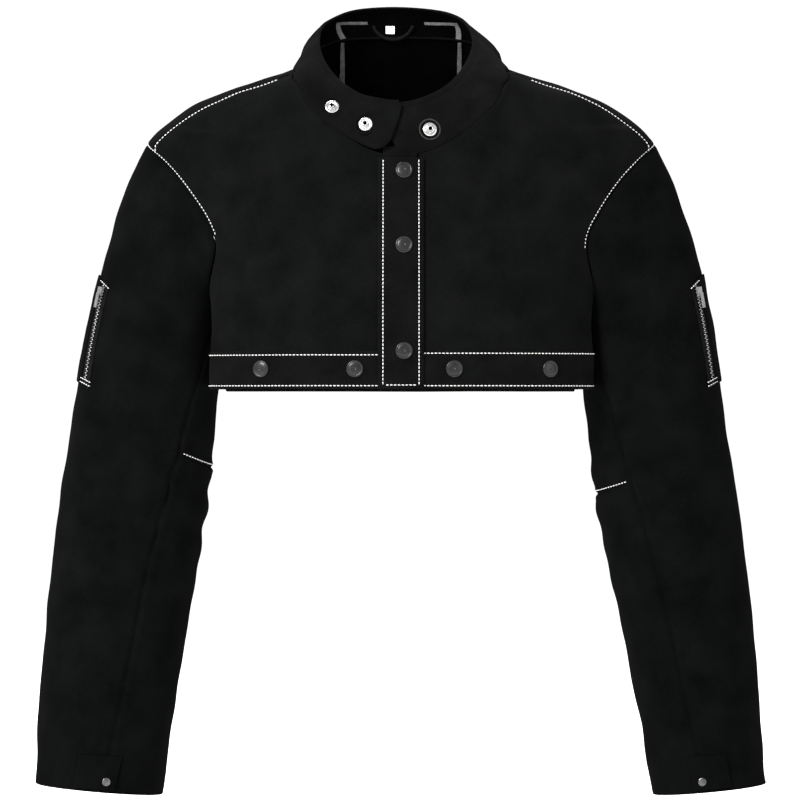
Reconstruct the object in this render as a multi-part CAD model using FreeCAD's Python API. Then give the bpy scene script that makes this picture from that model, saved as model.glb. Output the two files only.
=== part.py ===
import FreeCAD, Part
import math
import os

# Cropped split-leather welding jacket, standing as if worn with the arms hanging.
# Millimetres. +X is the wearer's left, -Y the front, +Z up, and the origin is the
# middle of the neck at the height where collar and shoulder meet.

Vec = FreeCAD.Vector

# ---- Driving dimensions ----------------------------------------------------------
LEATHER = 1.6  # thickness of one layer of split leather
SEAM = 0.4  # half the gap left at each seam between two panels
BAND = 2.6  # thickness of a folded, doubled band (hem, placket, collar)
HEM_EDGE = -318.0  # height of the front hem edge
BACK_HEM_EDGE = -320.0
HEM_TOP = -283.0  # upper seam of the front hem band
BACK_HEM_TOP = -286.0
ROUNDNESS = 2.3  # superellipse exponent of the body's level sections
PRINCESS = 61.0  # distance of the two back seams from the middle
ARMHOLE_MID = -167.0
ARMHOLE_HALF = 93.0
PLACKET_HALF = 21.0  # half width of the overlapping placket
PLACKET_LIFT = 2.0  # space between the placket and the front it covers
FOLD_TOP = (88.0, -41.0)  # distance from the middle and height, at the neck seam
FOLD_BOTTOM = (168.0, -318.0)
FOLD_HALF = 13.0  # half width of the soft strip each front folds along
FOLD_PHI = (43.5, 59.5)  # where the edges of that strip meet the neck seam
FRONT_START = {"left": 18.0, "right": -15.0}  # edge of each front, from the middle
CAP_RADIUS = 8.5
STUD_RADIUS = 3.0
SOCKET_BORE = 3.4
TAB_LIFT = 4.2  # height of the throat tab's end over the collar end it covers
CUFF_STATION = 8.0
SIDES = {"left": 1.0, "right": -1.0}

# Level sections of the body: height, half width at the front corner, half width at
# the side, depth in front, depth behind.
BODY = [
    (-335, 206, 175, 123, 112),
    (-287, 206, 174, 121, 116),
    (-247, 205, 176, 119, 121),
    (-207, 207, 192, 116, 125),
    (-167, 219, 215, 109, 126),
    (-127, 237, 236, 99, 121),
    (-87, 251, 251, 86, 111),
    (-75, 254, 254, 82, 107),
    (-50, 229, 229, 76, 99),
    (-30, 195, 195, 71, 93),
    (-10, 139, 139, 64, 87),
    (0, 108, 108, 60, 84),
    (20, 101, 101, 55, 79),
    (34, 84, 84, 52, 74),
    (42, 76, 76, 50, 71),
]

# The neck seam: direction in plan, body angle and height.
NECK = [
    (0, 0, -90),
    (20, 5, -82.5),
    (39, 12, -64),
    (51, 20.5, -42),
    (60, 33.5, -19.5),
    (71, 57, -5.5),
    (79, 71, -1.5),
    (90, 90, 0.5),
    (97, 99, 9),
    (105, 106.2, 20),
    (119, 122.6, 30),
    (130, 131.5, 34.3),
    (146, 150, 37.3),
    (180, 180, 39),
]

# Sleeve sections by station, shoulder to cuff: outer point, inner point, half depth
# and how far behind the middle each one sits. The two sleeves differ by a few mm.
SLEEVE = {
    "left": [
        (0, 254, -75, 177, -259, 66, 4),
        (1, 275, -122, 180, -285, 65, 3),
        (2, 296, -190, 182, -315, 63, 1),
        (3, 313, -272, 186, -355, 61, -2),
        (4, 327, -370, 193, -417, 60, -6),
        (5, 341, -465, 205, -487, 59, -12),
        (6, 350, -550, 220, -559, 57, -20),
        (7, 358, -637, 234, -639, 54, -29),
        (8, 363, -719, 249, -719, 51, -38),
    ],
    "right": [
        (0, 254, -75, 177, -259, 66, 4),
        (1, 276, -122, 181, -285, 65, 3),
        (2, 298, -190, 183, -315, 63, 1),
        (3, 317, -272, 187, -355, 61, -2),
        (4, 332, -370, 192, -417, 60, -6),
        (5, 345, -465, 201, -487, 59, -12),
        (6, 354, -550, 211, -559, 57, -20),
        (7, 361, -637, 224, -639, 54, -29),
        (8, 363, -719, 237, -719, 51, -38),
    ],
}
HEAD_END = 2.1  # stations where the soft head ends, and the elbow starts and ends
ELBOW = (3.45, 4.75)
ELBOW_SEAM = {"left": 4.1, "right": 3.7}


# ---- Curves and surfaces -----------------------------------------------------------
def smooth(x):
    x = min(1.0, max(0.0, x))
    return x * x * (3 - 2 * x)


def lerp(a, b, f):
    return a + (b - a) * f


def spline(table, x):
    """Every column of a table at x, as a smooth curve through its rows."""
    last = len(table) - 1
    i = 0
    while i < last - 1 and x > table[i + 1][0]:
        i += 1
    before, low = table[max(i - 1, 0)], table[i]
    high, after = table[i + 1], table[min(i + 2, last)]
    span = high[0] - low[0]
    f = min(1.0, max(0.0, (x - low[0]) / span))
    values = []
    for k in range(1, len(low)):
        slope_low = (high[k] - before[k]) / (high[0] - before[0]) * span
        slope_high = (after[k] - low[k]) / (after[0] - low[0]) * span
        values.append(
            low[k] * (2 * f**3 - 3 * f**2 + 1)
            + slope_low * (f**3 - 2 * f**2 + f)
            + high[k] * (3 * f**2 - 2 * f**3)
            + slope_high * (f**3 - f**2)
        )
    return values


def body(angle, z):
    """Outer leather surface; angle 0 is the front, 90 the wearer's left, 180 the back."""
    corner, side, front, back = spline(BODY, z)
    angle = (angle + 180) % 360 - 180
    turn = abs(angle)
    width = lerp(corner, side, smooth((turn - 60) / 30))
    sine = math.sin(math.radians(turn))
    cosine = math.cos(math.radians(turn))
    x = width * max(sine, 0.0) ** (2 / ROUNDNESS)
    depth = front if cosine > 0 else back
    y = -math.copysign(depth * abs(cosine) ** (2 / ROUNDNESS), cosine)
    return Vec(math.copysign(x, angle), y, z)


def body_angle(x, z, behind=False):
    """The body angle whose surface point has this distance from the middle."""
    corner, side = spline(BODY, z)[:2]
    width = side if behind else corner
    ratio = min(1.0, abs(x) / width) ** (ROUNDNESS / 2)
    angle = math.degrees(math.asin(ratio))
    return 180 - angle if behind else math.copysign(angle, x)


def normal_of(surface, p, q, step_p, step_q):
    along_p = surface(p + step_p, q) - surface(p - step_p, q)
    along_q = surface(p, q + step_q) - surface(p, q - step_q)
    return along_p.cross(along_q).normalize()


def body_point(angle, z, lift):
    return body(angle, z) + normal_of(body, angle, z, 0.8, 0.8) * lift


def neck(phi):
    """The neck seam as body angle and height; phi 0 is the front, 180 the back."""
    phi = (phi + 180) % 360 - 180
    angle, z = spline(NECK, abs(phi))
    return (math.copysign(angle, phi), z)


def armhole(t):
    """The armhole as body angle and height; t 0 is the shoulder, 90 the front."""
    z = ARMHOLE_MID + ARMHOLE_HALF * math.cos(math.radians(t))
    sine = math.sin(math.radians(t))
    below = t - 90 if sine >= 0 else 270 - t
    reach = (34 if sine >= 0 else 30) * sine * (1 - 0.45 * smooth(below / 60))
    return (90 - reach, z)


def fold_x(z):
    """Distance from the middle of the line a front folds open along."""
    f = (z - FOLD_BOTTOM[1]) / (FOLD_TOP[1] - FOLD_BOTTOM[1])
    return lerp(FOLD_BOTTOM[0], FOLD_TOP[0], f)


def shoulder_seam(side, z):
    """Body angle of the shoulder seam, which lies a little in front of the ridge."""
    low, high = {"left": (77, 62), "right": (75, 56)}[side]
    return lerp(low, high, (z + 81) / 76)


def sleeve(side, t, station):
    """Outer surface of a sleeve; t 0 is its outer line, 90 its front line."""
    ox, oz, ix, iz, depth, centre = spline(SLEEVE[side], station)
    turn = math.radians(t)
    swing = math.cos(turn)
    point = Vec((ox + ix) / 2 + (ox - ix) / 2 * swing, 0, (oz + iz) / 2 + (oz - iz) / 2 * swing)
    point.y = centre - depth * math.sin(turn)
    ox, oz, ix, iz, depth, centre = SLEEVE[side][0][1:]
    start = Vec((ox + ix) / 2 + (ox - ix) / 2 * swing, 0, (oz + iz) / 2 + (oz - iz) / 2 * swing)
    start.y = centre - depth * math.sin(turn)
    fade = max(0.0, 1 - station / 2.2) ** 2
    point += (body(*armhole(t)) - start) * fade
    point.x *= SIDES[side]
    return point


def sleeve_point(side, t, station, lift):
    def surface(p, q):
        return sleeve(side, p, q)

    normal = normal_of(surface, t, station, 1.0, 0.02) * SIDES[side]
    return sleeve(side, t, station) + normal * lift


def front_seam(station):
    """t of the seam down the front of a sleeve, between outer and inner panel."""
    return spline([(0, 150), (2, 138), (3, 130), (5, 112), (6.5, 105), (8, 96)], station)[0]


def back_seam(station):
    return spline([(0, 215), (3, 225), (5, 238), (8, 250)], station)[0]


def collar(phi, rise):
    """Collar surface from the neck seam (rise 0) to its top edge (rise 1)."""
    turn = math.radians(phi)
    low = body(*neck(phi))
    side = math.sin(turn)
    top = Vec(-5 + 78 * side, 4 - 76 * math.cos(turn), 13 - 50 * math.cos(turn) + 16 * side**2)
    bulge = Vec(side, -math.cos(turn), 0) * 4 * math.sin(math.pi * rise)
    return low + (top - low) * rise + bulge


def collar_point(phi, rise, lift):
    return collar(phi, rise) + normal_of(collar, phi, rise, 1.0, 0.02) * lift


# ---- Solids --------------------------------------------------------------------------
def sheet_solid(point, outer, inner, breaks=(0.0, 1.0), rows=8, cols=8):
    """Closed solids between two offsets of point(u, v, lift), one from break to break."""
    solids = []
    for low, high in zip(breaks[:-1], breaks[1:]):
        skins = []
        for lift in (outer, inner):
            grid = []
            for i in range(cols + 1):
                u = i / cols
                grid.append([point(u, lerp(low, high, j / rows), lift) for j in range(rows + 1)])
            skin = Part.BSplineSurface()
            skin.interpolate(grid)
            skins.append(skin)
        u0, u1, v0, v1 = skins[0].bounds()
        rims = [[skin.uIso(u0), skin.uIso(u1), skin.vIso(v0), skin.vIso(v1)] for skin in skins]
        faces = [skin.toShape() for skin in skins]
        for first, second in zip(*rims):
            faces.append(Part.makeRuledSurface(first.toShape(), second.toShape(), 1))
        joined = Part.Compound(faces)
        joined.sewShape()
        solid = Part.Solid(joined.Shells[0])
        if solid.Volume < 0:
            solid.reverse()
        solids.append(solid)
    return solids[0] if len(solids) == 1 else Part.Compound(solids)


def body_panel(left, right, outer=0.0, inner=-LEATHER, **grid):
    """A panel of the body between two edges, each a function giving angle and height."""

    def point(u, v, lift):
        a, b = left(v), right(v)
        return body_point(lerp(a[0], b[0], u), lerp(a[1], b[1], u), lift)

    return sheet_solid(point, outer, inner, **grid)


def sleeve_panel(side, t0, t1, s0, s1, outer=0.0, inner=-LEATHER, **grid):
    """A panel of a sleeve between two seams (functions of station) and two stations."""

    def point(u, v, lift):
        station = lerp(s0, s1, v)
        return sleeve_point(side, lerp(t0(station), t1(station), u), station, lift)

    return sheet_solid(point, outer, inner, **grid)


def collar_panel(phi0, phi1, rise0=0.03, rise1=1.0, outer=0.0, inner=-BAND, **grid):
    def point(u, v, lift):
        lifted = lift(lerp(phi0, phi1, u)) if callable(lift) else lift
        return collar_point(lerp(phi0, phi1, u), lerp(rise0, rise1, v), lifted)

    return sheet_solid(point, outer, inner, **grid)


def steps(points):
    """A path through (v, angle, height) rows, straight between them."""

    def at(v):
        for low, high in zip(points[:-1], points[1:]):
            if v <= high[0]:
                f = (v - low[0]) / (high[0] - low[0])
                return (lerp(low[1], high[1], f), lerp(low[2], high[2], f))
        return points[-1][1:]

    return at


def turned(radius_heights):
    """A solid of revolution about Z from a closed outline of (radius, height)."""
    outline = [Vec(r, 0, h) for r, h in radius_heights]
    wire = Part.makePolygon(outline + outline[:1])
    return Part.Face(wire).revolve(Vec(0, 0, 0), Vec(0, 0, 1), 360)


def seated(shape, point, normal):
    """A copy of a shape built on Z, moved to a point and turned to the normal."""
    placed = shape.copy()
    placed.Placement = FreeCAD.Placement(point, FreeCAD.Rotation(Vec(0, 0, 1), normal))
    return placed


def save(name, shape):
    shape.exportStep(f"parts/{name}.step")


# ---- Snap fasteners --------------------------------------------------------------------
def snap_cap(radius, height):
    """A pressed cap: a flat rim, a rounded shoulder and a nearly flat top."""
    edge = [(0, 0), (radius * 0.94, 0), (radius, height * 0.25)]
    bend = []
    for step in range(1, 6):
        turn = math.radians(step * 18)
        bend.append((radius - 1.2 * (1 - math.cos(turn)), height * (0.25 + 0.55 * math.sin(turn))))
    return turned(edge + bend + [(0, height)])


def snap_stud():
    """A male snap: a dished washer, a straight nub with a rounded end and a hollow middle."""
    outline = [(1.1, 0), (7, 0), (7, 0.5), (5.6, 1.0), (4.2, 0.6)]
    return turned(outline + [(STUD_RADIUS, 0.6), (STUD_RADIUS, 3.4), (2.4, 4.0), (1.1, 4.0)])


def snap_socket(bore, outer, height):
    """A female snap: a flanged ring with an open bore."""
    return turned([(bore, 0), (outer, 0), (outer, 0.5), (outer - 1.3, height), (bore, height)])


# ---- Body of the jacket ------------------------------------------------------------------
def seam_angle(z):
    return body_angle(PRINCESS, z, behind=True)


def back_panels():
    top = neck(131)[1] - 1

    def centre(u, v, lift):
        z = lerp(BACK_HEM_TOP + SEAM, top, v)
        gap = math.degrees(SEAM / 120)
        angle = lerp(seam_angle(z) + gap, 360 - seam_angle(z) - gap, u)
        rise = neck(lerp(131, 229, u))[1] - 1 - top
        return body_point(angle, z + rise * smooth((v - 0.6) / 0.4), lift)

    save("back_centre", sheet_solid(centre, 0.0, -LEATHER, rows=14, cols=12))
    for side, sign in SIDES.items():
        inner = back_side_inner(sign)
        outer = back_side_outer(side, sign)
        breaks = (0.0, 0.08, 0.62, 0.8, 1.0)
        save(f"back_side_{side}", body_panel(inner, outer, breaks=breaks, rows=12, cols=10))


def back_side_inner(sign):
    """Edge along the princess seam, then along the neck to the shoulder seam."""

    def at(v):
        if v < 0.8:
            z = lerp(BACK_HEM_TOP + SEAM, neck(131)[1] - 1.2, v / 0.8)
            return (sign * (seam_angle(z) - 0.4), z)
        angle, z = neck(lerp(131, 73, (v - 0.8) / 0.2))
        return (sign * angle, z - 1.2)

    return at


def back_side_outer(side, sign):
    """Edge up the side seam, round the back of the armhole and over the shoulder."""

    def at(v):
        if v < 0.08:
            z = lerp(BACK_HEM_TOP + SEAM, ARMHOLE_MID - ARMHOLE_HALF, v / 0.08)
            return (sign * (90 + 0.15), z)
        t = lerp(180, 378, (v - 0.08) / 0.92)
        angle, z = armhole(t % 360)
        return (sign * (angle + (0.15 if t < 270 else 0.0)), z)

    return at


def front_side(side, sign):
    """Outer part of a front: fold line, neck, shoulder seam, armhole and side seam."""

    def inner(v):
        if v < 0.85:
            z = lerp(HEM_TOP + SEAM, neck(FOLD_PHI[1])[1] - 2.2, v / 0.85)
            return (sign * body_angle(fold_x(z) + FOLD_HALF, z), z)
        angle, z = neck(lerp(FOLD_PHI[1], 71, (v - 0.85) / 0.15))
        return (sign * angle, z - 2.2)

    def outer(v):
        if v < 0.1:
            z = lerp(HEM_TOP + SEAM, ARMHOLE_MID - ARMHOLE_HALF, v / 0.1)
            return (sign * 89.8, z)
        if v < 0.7:
            angle, z = armhole(lerp(180, 26, (v - 0.1) / 0.6))
            return (sign * angle, z)
        z = lerp(armhole(26)[1], -9.0, (v - 0.7) / 0.3)
        return (sign * (shoulder_seam(side, z) - 1.0), z)

    breaks = (0.0, 0.1, 0.7, 0.85, 1.0)
    save(f"front_side_{side}", body_panel(inner, outer, breaks=breaks, rows=7, cols=6))


def front_inner(side, sign):
    """Inner part of a front, from the placket to the fold line, up to the neck."""
    start = FRONT_START[side]
    first = {"left": 12.0, "right": -10.0}[side]
    top = neck(FOLD_PHI[0] - 1)[1] - 1.5

    def inner(v):
        if v < 0.8:
            z = lerp(HEM_TOP + SEAM, neck(first)[1] - 1.5, v / 0.8)
            return (sign * body_angle(start, z), z)
        angle, z = neck(lerp(first, FOLD_PHI[0] - 3, (v - 0.8) / 0.2))
        return (sign * angle, z - 1.5)

    def outer(v):
        z = lerp(HEM_TOP + SEAM, top, v)
        return (sign * body_angle(fold_x(z) - FOLD_HALF - 1, z), z)

    save(f"front_panel_{side}", body_panel(inner, outer, breaks=(0.0, 0.8, 1.0), rows=9, cols=8))


def front_fold(side, sign):
    """Soft strip a front folds open along, from the hem edge to the neck."""

    def edge(shift, phi):
        top = neck(phi)[1] - 2.5

        def at(v):
            z = lerp(HEM_EDGE, top, v)
            return (sign * body_angle(fold_x(z) + shift, z), z)

        return at

    edges = edge(-FOLD_HALF, FOLD_PHI[0]), edge(FOLD_HALF - 1, FOLD_PHI[1])
    strip = body_panel(*edges, rows=12, cols=3)
    save(f"front_fold_{side}", strip)


def hem_bands():
    """Doubled bands along the hem: one behind, and two in front on each side."""

    def level(angle_at, z0, z1):
        return lambda v: (angle_at(lerp(z0, z1, v)), lerp(z0, z1, v))

    back_low, back_high = BACK_HEM_EDGE, BACK_HEM_TOP - SEAM
    right = level(lambda z: 90.3, back_low, back_high)
    left = level(lambda z: 269.7, back_low, back_high)
    save("back_hem", body_panel(right, left, 0.3, 0.3 - BAND, rows=2, cols=20))
    low, high = HEM_EDGE, HEM_TOP - SEAM
    for side, sign in SIDES.items():
        start = FRONT_START[side]
        inner = level(lambda z, s=sign, x=start: s * body_angle(x, z), low, high)
        fold_in = level(lambda z, s=sign: s * body_angle(fold_x(z) - FOLD_HALF - 1, z), low, high)
        fold_out = level(lambda z, s=sign: s * body_angle(fold_x(z) + FOLD_HALF, z), low, high)
        seam = level(lambda z, s=sign: s * 89.8, low, high)
        save(f"hem_front_{side}", body_panel(inner, fold_in, 0.0, -BAND, rows=2, cols=10))
        save(f"hem_side_{side}", body_panel(fold_out, seam, 0.0, -BAND, rows=2, cols=8))


def plackets():
    """The placket on the left front, and the facing behind the edge it covers."""

    top = neck(0)[1] - 5.0

    def edge(x):
        return lambda v: (body_angle(x, lerp(HEM_EDGE, top, v)), lerp(HEM_EDGE, top, v))

    low, high = PLACKET_LIFT, PLACKET_LIFT + BAND
    over = body_panel(edge(-PLACKET_HALF), edge(PLACKET_HALF), high, low, rows=12, cols=4)
    save("placket_left", over)
    under = body_panel(edge(-PLACKET_HALF), edge(PLACKET_HALF - 7), -3.3, -4.9, rows=12, cols=4)
    save("placket_right", under)


# ---- Collar ---------------------------------------------------------------------------
def collar_parts():
    """Band collar: back, two soft folds, two fronts, and the throat tab with its fold."""
    near, far = FOLD_PHI
    gap = 0.7
    save("collar_back", collar_panel(far, 360 - far, rows=4, cols=24))
    for side, sign in SIDES.items():
        first, last = sorted((sign * (near + gap), sign * (far - gap)))
        save(f"collar_fold_{side}", collar_panel(first, last, rows=4, cols=4))
    save("collar_front_left", collar_panel(-4.0, near, rows=4, cols=8))
    save("collar_front_right", collar_panel(-near, -36.0, rows=4, cols=3))
    save("collar_tab_fold", collar_panel(-35.3, -27.7, rows=4, cols=3))

    def rising(base):
        return lambda phi: base + TAB_LIFT * smooth((phi + 27) / 18)

    tab = collar_panel(-27.0, 5.0, 0.03, 1.0, outer=rising(0.0), inner=rising(-BAND), rows=4, cols=8)
    save("collar_tab", tab)


def collar_studs():
    """Bare male studs for a detachable throat strap: two on the tab, one opposite."""
    stud = snap_stud()
    tab = []
    for phi, rise, lift in ((-43.0, 0.4, 0.3), (-21.5, 0.44, 2.8)):
        tab.append(seated(stud, collar_point(phi, rise, lift), collar_normal(phi, rise)))
    save("collar_stud_right", tab[0])
    save("collar_stud_tab", tab[1])
    left = seated(stud, collar_point(20.0, 0.37, 0.3), collar_normal(20.0, 0.37))
    save("collar_stud_left", left)


def collar_normal(phi, rise):
    return normal_of(collar, phi, rise, 1.0, 0.02)


# ---- Snaps on the body --------------------------------------------------------------------
PLACKET_SNAPS = (-106.0, -179.0, -282.0)
HEM_SNAPS = {"left": (52.0, 146.0), "right": (45.0, 137.0)}
HEM_SNAP_Z = -299.5


def body_seat(shape, x, z, lift, inward=False):
    angle = body_angle(x, z)
    normal = normal_of(body, angle, z, 0.8, 0.8)
    return seated(shape, body_point(angle, z, lift), normal * (-1 if inward else 1))


def body_snaps():
    cap = snap_cap(CAP_RADIUS, 2.2)
    over = PLACKET_LIFT + BAND
    caps = [body_seat(cap, 3.0, z, over + 0.3) for z in PLACKET_SNAPS]
    save("placket_caps", Part.Compound(caps))
    stud = turned([(0, 0), (5, 0), (5, 0.4), (2.4, 0.5), (2.4, 1.2), (0, 1.2)])
    studs = [body_seat(stud, 3.0, z, 0.3) for z in PLACKET_SNAPS]
    save("placket_studs", Part.Compound(studs))
    socket = snap_socket(SOCKET_BORE, 6.5, 2.6)
    for side, sign in SIDES.items():
        spots = [sign * x for x in HEM_SNAPS[side]]
        caps = [body_seat(cap, x, HEM_SNAP_Z, 0.3) for x in spots]
        save(f"hem_caps_{side}", Part.Compound(caps))
        sockets = [body_seat(socket, x, HEM_SNAP_Z, -BAND - 0.3, inward=True) for x in spots]
        save(f"hem_sockets_{side}", Part.Compound(sockets))


# ---- Inside the neck -----------------------------------------------------------------------
HANGER_RISE = 13.0  # height of the hanger above the seam of the back collar


def inside_neck():
    """Hanger loop, blank label and the two tapes that bind the back seams."""
    top = neck(180)[1] + HANGER_RISE
    anchor = collar_point(180, 0.35, -BAND).y - 7.2
    ends = (Vec(-28, anchor, top - 3), Vec(12, anchor, top - 3))
    dip = Vec(-8, anchor - 3, top - 17)
    path = Part.Wire([Part.Arc(ends[0], dip, ends[1]).toShape()])
    tangent = path.Edges[0].tangentAt(path.Edges[0].FirstParameter)
    section = Part.Wire([Part.makeCircle(1.7, ends[0], tangent)])
    save("hanger_loop", path.makePipeShell([section], True, False))
    label = Part.makeBox(9, 0.5, 8, Vec(-15.5, collar_point(188, 0.08, -BAND).y - 1.9, top - 11))
    save("size_label", label)
    for side, sign in SIDES.items():

        def edge(shift, s=sign):
            return lambda v: (
                s * (seam_angle(lerp(BACK_HEM_TOP + 2, 33, v)) + shift),
                lerp(BACK_HEM_TOP + 2, 33, v),
            )

        tape = body_panel(edge(1.4), edge(-1.4), -LEATHER - 1.0, -LEATHER - 1.8, rows=14, cols=2)
        save(f"seam_tape_{side}", tape)


# ---- Sleeves ----------------------------------------------------------------------------
def sleeve_parts(side):
    """Two-piece sleeve: soft head, upper sleeve, soft elbow, forearm and cuff facing."""

    def shifted(seam, amount):
        return lambda station: seam(station) + amount

    outer_from = shifted(back_seam, -360 + 0.4)
    outer_to = shifted(front_seam, -0.4)
    inner_from = shifted(front_seam, 0.4)
    inner_to = shifted(back_seam, -0.4)

    def pair(s0, s1, rows):
        outer = sleeve_panel(side, outer_from, outer_to, s0, s1, rows=rows, cols=14)
        inner = sleeve_panel(side, inner_from, inner_to, s0, s1, rows=rows, cols=7)
        return outer, inner

    gap = 0.008
    head = pair(0.2, HEAD_END - gap, 8)
    save(f"sleeve_head_{side}", Part.Compound(head))
    upper = pair(HEAD_END + gap, ELBOW[0] - gap, 6)
    save(f"sleeve_upper_outer_{side}", upper[0])
    save(f"sleeve_upper_inner_{side}", upper[1])
    elbow_outer = pair(ELBOW[0] + gap, ELBOW[1] - gap, 6)[0]
    above = pair(ELBOW[0] + gap, ELBOW_SEAM[side] - gap, 3)[1]
    below = pair(ELBOW_SEAM[side] + gap, ELBOW[1] - gap, 3)[1]
    save(f"sleeve_elbow_{side}", Part.Compound([elbow_outer, above, below]))
    fore = pair(ELBOW[1] + gap, CUFF_STATION, 10)
    save(f"forearm_outer_{side}", fore[0])
    save(f"forearm_inner_{side}", fore[1])
    facing = sleeve_panel(
        side, outer_from, outer_to, 7.6, CUFF_STATION, -LEATHER - 0.3, -LEATHER - 1.8, rows=2, cols=14
    )
    save(f"cuff_facing_{side}", facing)


def cuff_tab(side):
    """Snap tab over the slit at the cuff, with its cap."""

    def first(station):
        return front_seam(station) - 26

    def last(station):
        return front_seam(station) + 10

    tab = sleeve_panel(side, first, last, 7.55, 7.97, 0.8 + LEATHER, 0.8, rows=3, cols=4)
    save(f"cuff_tab_{side}", tab)
    t = front_seam(7.83) + 1
    spot = sleeve_point(side, t, 7.83, 1.1 + LEATHER)
    normal = sleeve_point(side, t, 7.83, 1.0) - sleeve_point(side, t, 7.83, 0.0)
    save(f"cuff_cap_{side}", seated(snap_cap(4.2, 1.6), spot, normal))


def sleeve_pocket(side):
    """Patch pocket on the outside of the upper sleeve, with a zip down its front edge."""

    def back_edge(station):
        return -58.0

    def front_edge(station):
        return 25.0

    def tape_edge(station):
        return 38.0

    patch = sleeve_panel(side, back_edge, front_edge, 2.2, 3.4, 0.7 + LEATHER, 0.7, rows=5, cols=7)
    save(f"pocket_{side}", patch)
    tape = sleeve_panel(side, lambda s: 26.0, tape_edge, 2.2, 3.4, 1.2, 0.3, rows=6, cols=2)
    save(f"pocket_zip_{side}", tape)
    low = sleeve_point(side, 32.0, 3.3, 3.4)
    high = sleeve_point(side, 32.0, 2.26, 3.4)
    along = (high - low).normalize()
    outward = (sleeve_point(side, 32.0, 2.3, 1.0) - sleeve_point(side, 32.0, 2.3, 0.0)).normalize()
    across = along.cross(outward).normalize()
    outward = across.cross(along).normalize()

    def bar(length, width, height, along_from, out_from):
        block = Part.makeBox(width, length, height, Vec(-width / 2, along_from, out_from))
        turn = FreeCAD.Rotation(across, along, outward, "ZXY")
        block.Placement = FreeCAD.Placement(high, turn)
        return block

    slider = bar(9.0, 7.0, 2.4, -9.0, 0.0)
    puller = bar(15.0, 4.5, 1.0, -21.0, 2.8)
    puller = puller.fuse(bar(3.0, 2.0, 1.4, -9.0, 2.4))
    save(f"zip_slider_{side}", slider.fuse(puller))


os.makedirs("parts", exist_ok=True)
back_panels()
hem_bands()
plackets()
for side_name, side_sign in SIDES.items():
    front_side(side_name, side_sign)
    front_inner(side_name, side_sign)
    front_fold(side_name, side_sign)
    sleeve_parts(side_name)
    cuff_tab(side_name)
    sleeve_pocket(side_name)
collar_parts()
collar_studs()
body_snaps()
inside_neck()
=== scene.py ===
import bmesh
import bpy
import math
import numpy as np
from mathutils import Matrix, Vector


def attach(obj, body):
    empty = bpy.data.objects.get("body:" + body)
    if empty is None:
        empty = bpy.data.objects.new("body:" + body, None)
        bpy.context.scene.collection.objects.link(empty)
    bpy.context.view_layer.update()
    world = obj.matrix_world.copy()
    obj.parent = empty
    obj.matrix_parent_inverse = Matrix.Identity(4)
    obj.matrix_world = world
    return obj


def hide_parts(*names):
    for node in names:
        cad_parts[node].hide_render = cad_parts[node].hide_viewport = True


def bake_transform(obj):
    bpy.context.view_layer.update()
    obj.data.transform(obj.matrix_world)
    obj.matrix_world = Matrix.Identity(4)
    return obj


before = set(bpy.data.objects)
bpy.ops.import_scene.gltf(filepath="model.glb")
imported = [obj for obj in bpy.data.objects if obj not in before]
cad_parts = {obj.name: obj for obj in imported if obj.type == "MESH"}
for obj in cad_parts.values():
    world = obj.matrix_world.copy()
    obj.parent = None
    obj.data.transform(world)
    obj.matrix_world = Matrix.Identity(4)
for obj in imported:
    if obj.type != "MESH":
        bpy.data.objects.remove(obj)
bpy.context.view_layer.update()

# Lengths are in millimetres, as in the design, and turned to metres when a mesh is made.
# Angles round the body and the neck run from 0 at the middle of the front to 180 at the back.
# A station counts along a sleeve, from 0 at the armhole to 8 at the cuff.
MM = 0.001
SIDES = {"left": 1.0, "right": -1.0}
LEATHER = 1.8  # thickness of the leather as seen at its cut edges
BAND = 3.0  # thickness of the folded bands
FACING = 1.6  # thickness of the pocket and of the single layers at the placket
TAPE = 0.9  # thickness of the light tape at the back of the neck
HEM_EDGE = -318.0  # lower and upper edge of the hem band, in front and behind
BACK_HEM_EDGE = -320.0
HEM_TOP = -283.0
BACK_HEM_TOP = -286.0
HEM_LIFT = 0.7  # how far the hem band stands out from the panels
HEM_GAP = 0.2  # between the hem band and the panel above it
NECK_GAP = 0.7  # between the collar seam and the panel below it
ROUNDNESS = 2.3  # power of the outline round the body; 2 is an ellipse
PRINCESS = 61.0  # distance of the two back seams from the middle
BACK_SEAM_PHI = 131  # where those seams reach the neck
SHOULDER_PHI = {"front": 71, "back": 73}  # where the shoulder seam reaches the neck
SHOULDER_TURN = 26  # where it reaches the armhole
ARMHOLE_MID = -167.0  # height of the middle of the armhole, and half its length
ARMHOLE_HALF = 93.0
ARMHOLE_SHARE = 0.08  # share of a panel's side edge at which the armhole starts
ARMHOLE_TOP_SHARE = 0.7  # and, on a front, where the shoulder seam starts
NECK_SHARE = {"front": 0.62, "back": 0.8}  # share of the other edge where the neck starts
PLACKET_HALF = 21.0
FOLD_PHI = (43.5, 59.5)  # where the collar bends when a front opens
FRONT_START = {"left": 18.0, "right": -15.0}  # edge of each front, from the middle
SPLIT = 2.75  # station where the two halves of a sleeve meet
POCKET_ROWS = (2.2, 3.4)  # stations of the pocket's ends
TAB_PHI = -39.0  # where the throat tab's piece meets the right half of the collar
TAB_BEND = (-35.5, -27.0)  # where the throat tab bends
COLLAR_BACK = 112.0  # where the back of the collar meets its front halves
STITCH_PITCH = 3.7
STITCH_LENGTH = 2.7

# Height, half width (at the front corners and at the sides) and depth (front and back).
BODY = np.array([
    (-335, 206, 175, 123, 112), (-287, 206, 174, 121, 116), (-247, 205, 176, 119, 121),
    (-207, 207, 192, 116, 125), (-167, 219, 215, 109, 126), (-127, 237, 236, 99, 121),
    (-87, 251, 251, 86, 111), (-75, 254, 254, 82, 107), (-50, 229, 229, 76, 99),
    (-30, 195, 195, 71, 93), (-10, 139, 139, 64, 87), (0, 108, 108, 60, 84),
    (20, 101, 101, 55, 79), (34, 84, 84, 52, 74), (42, 76, 76, 50, 71),
], float)
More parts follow.
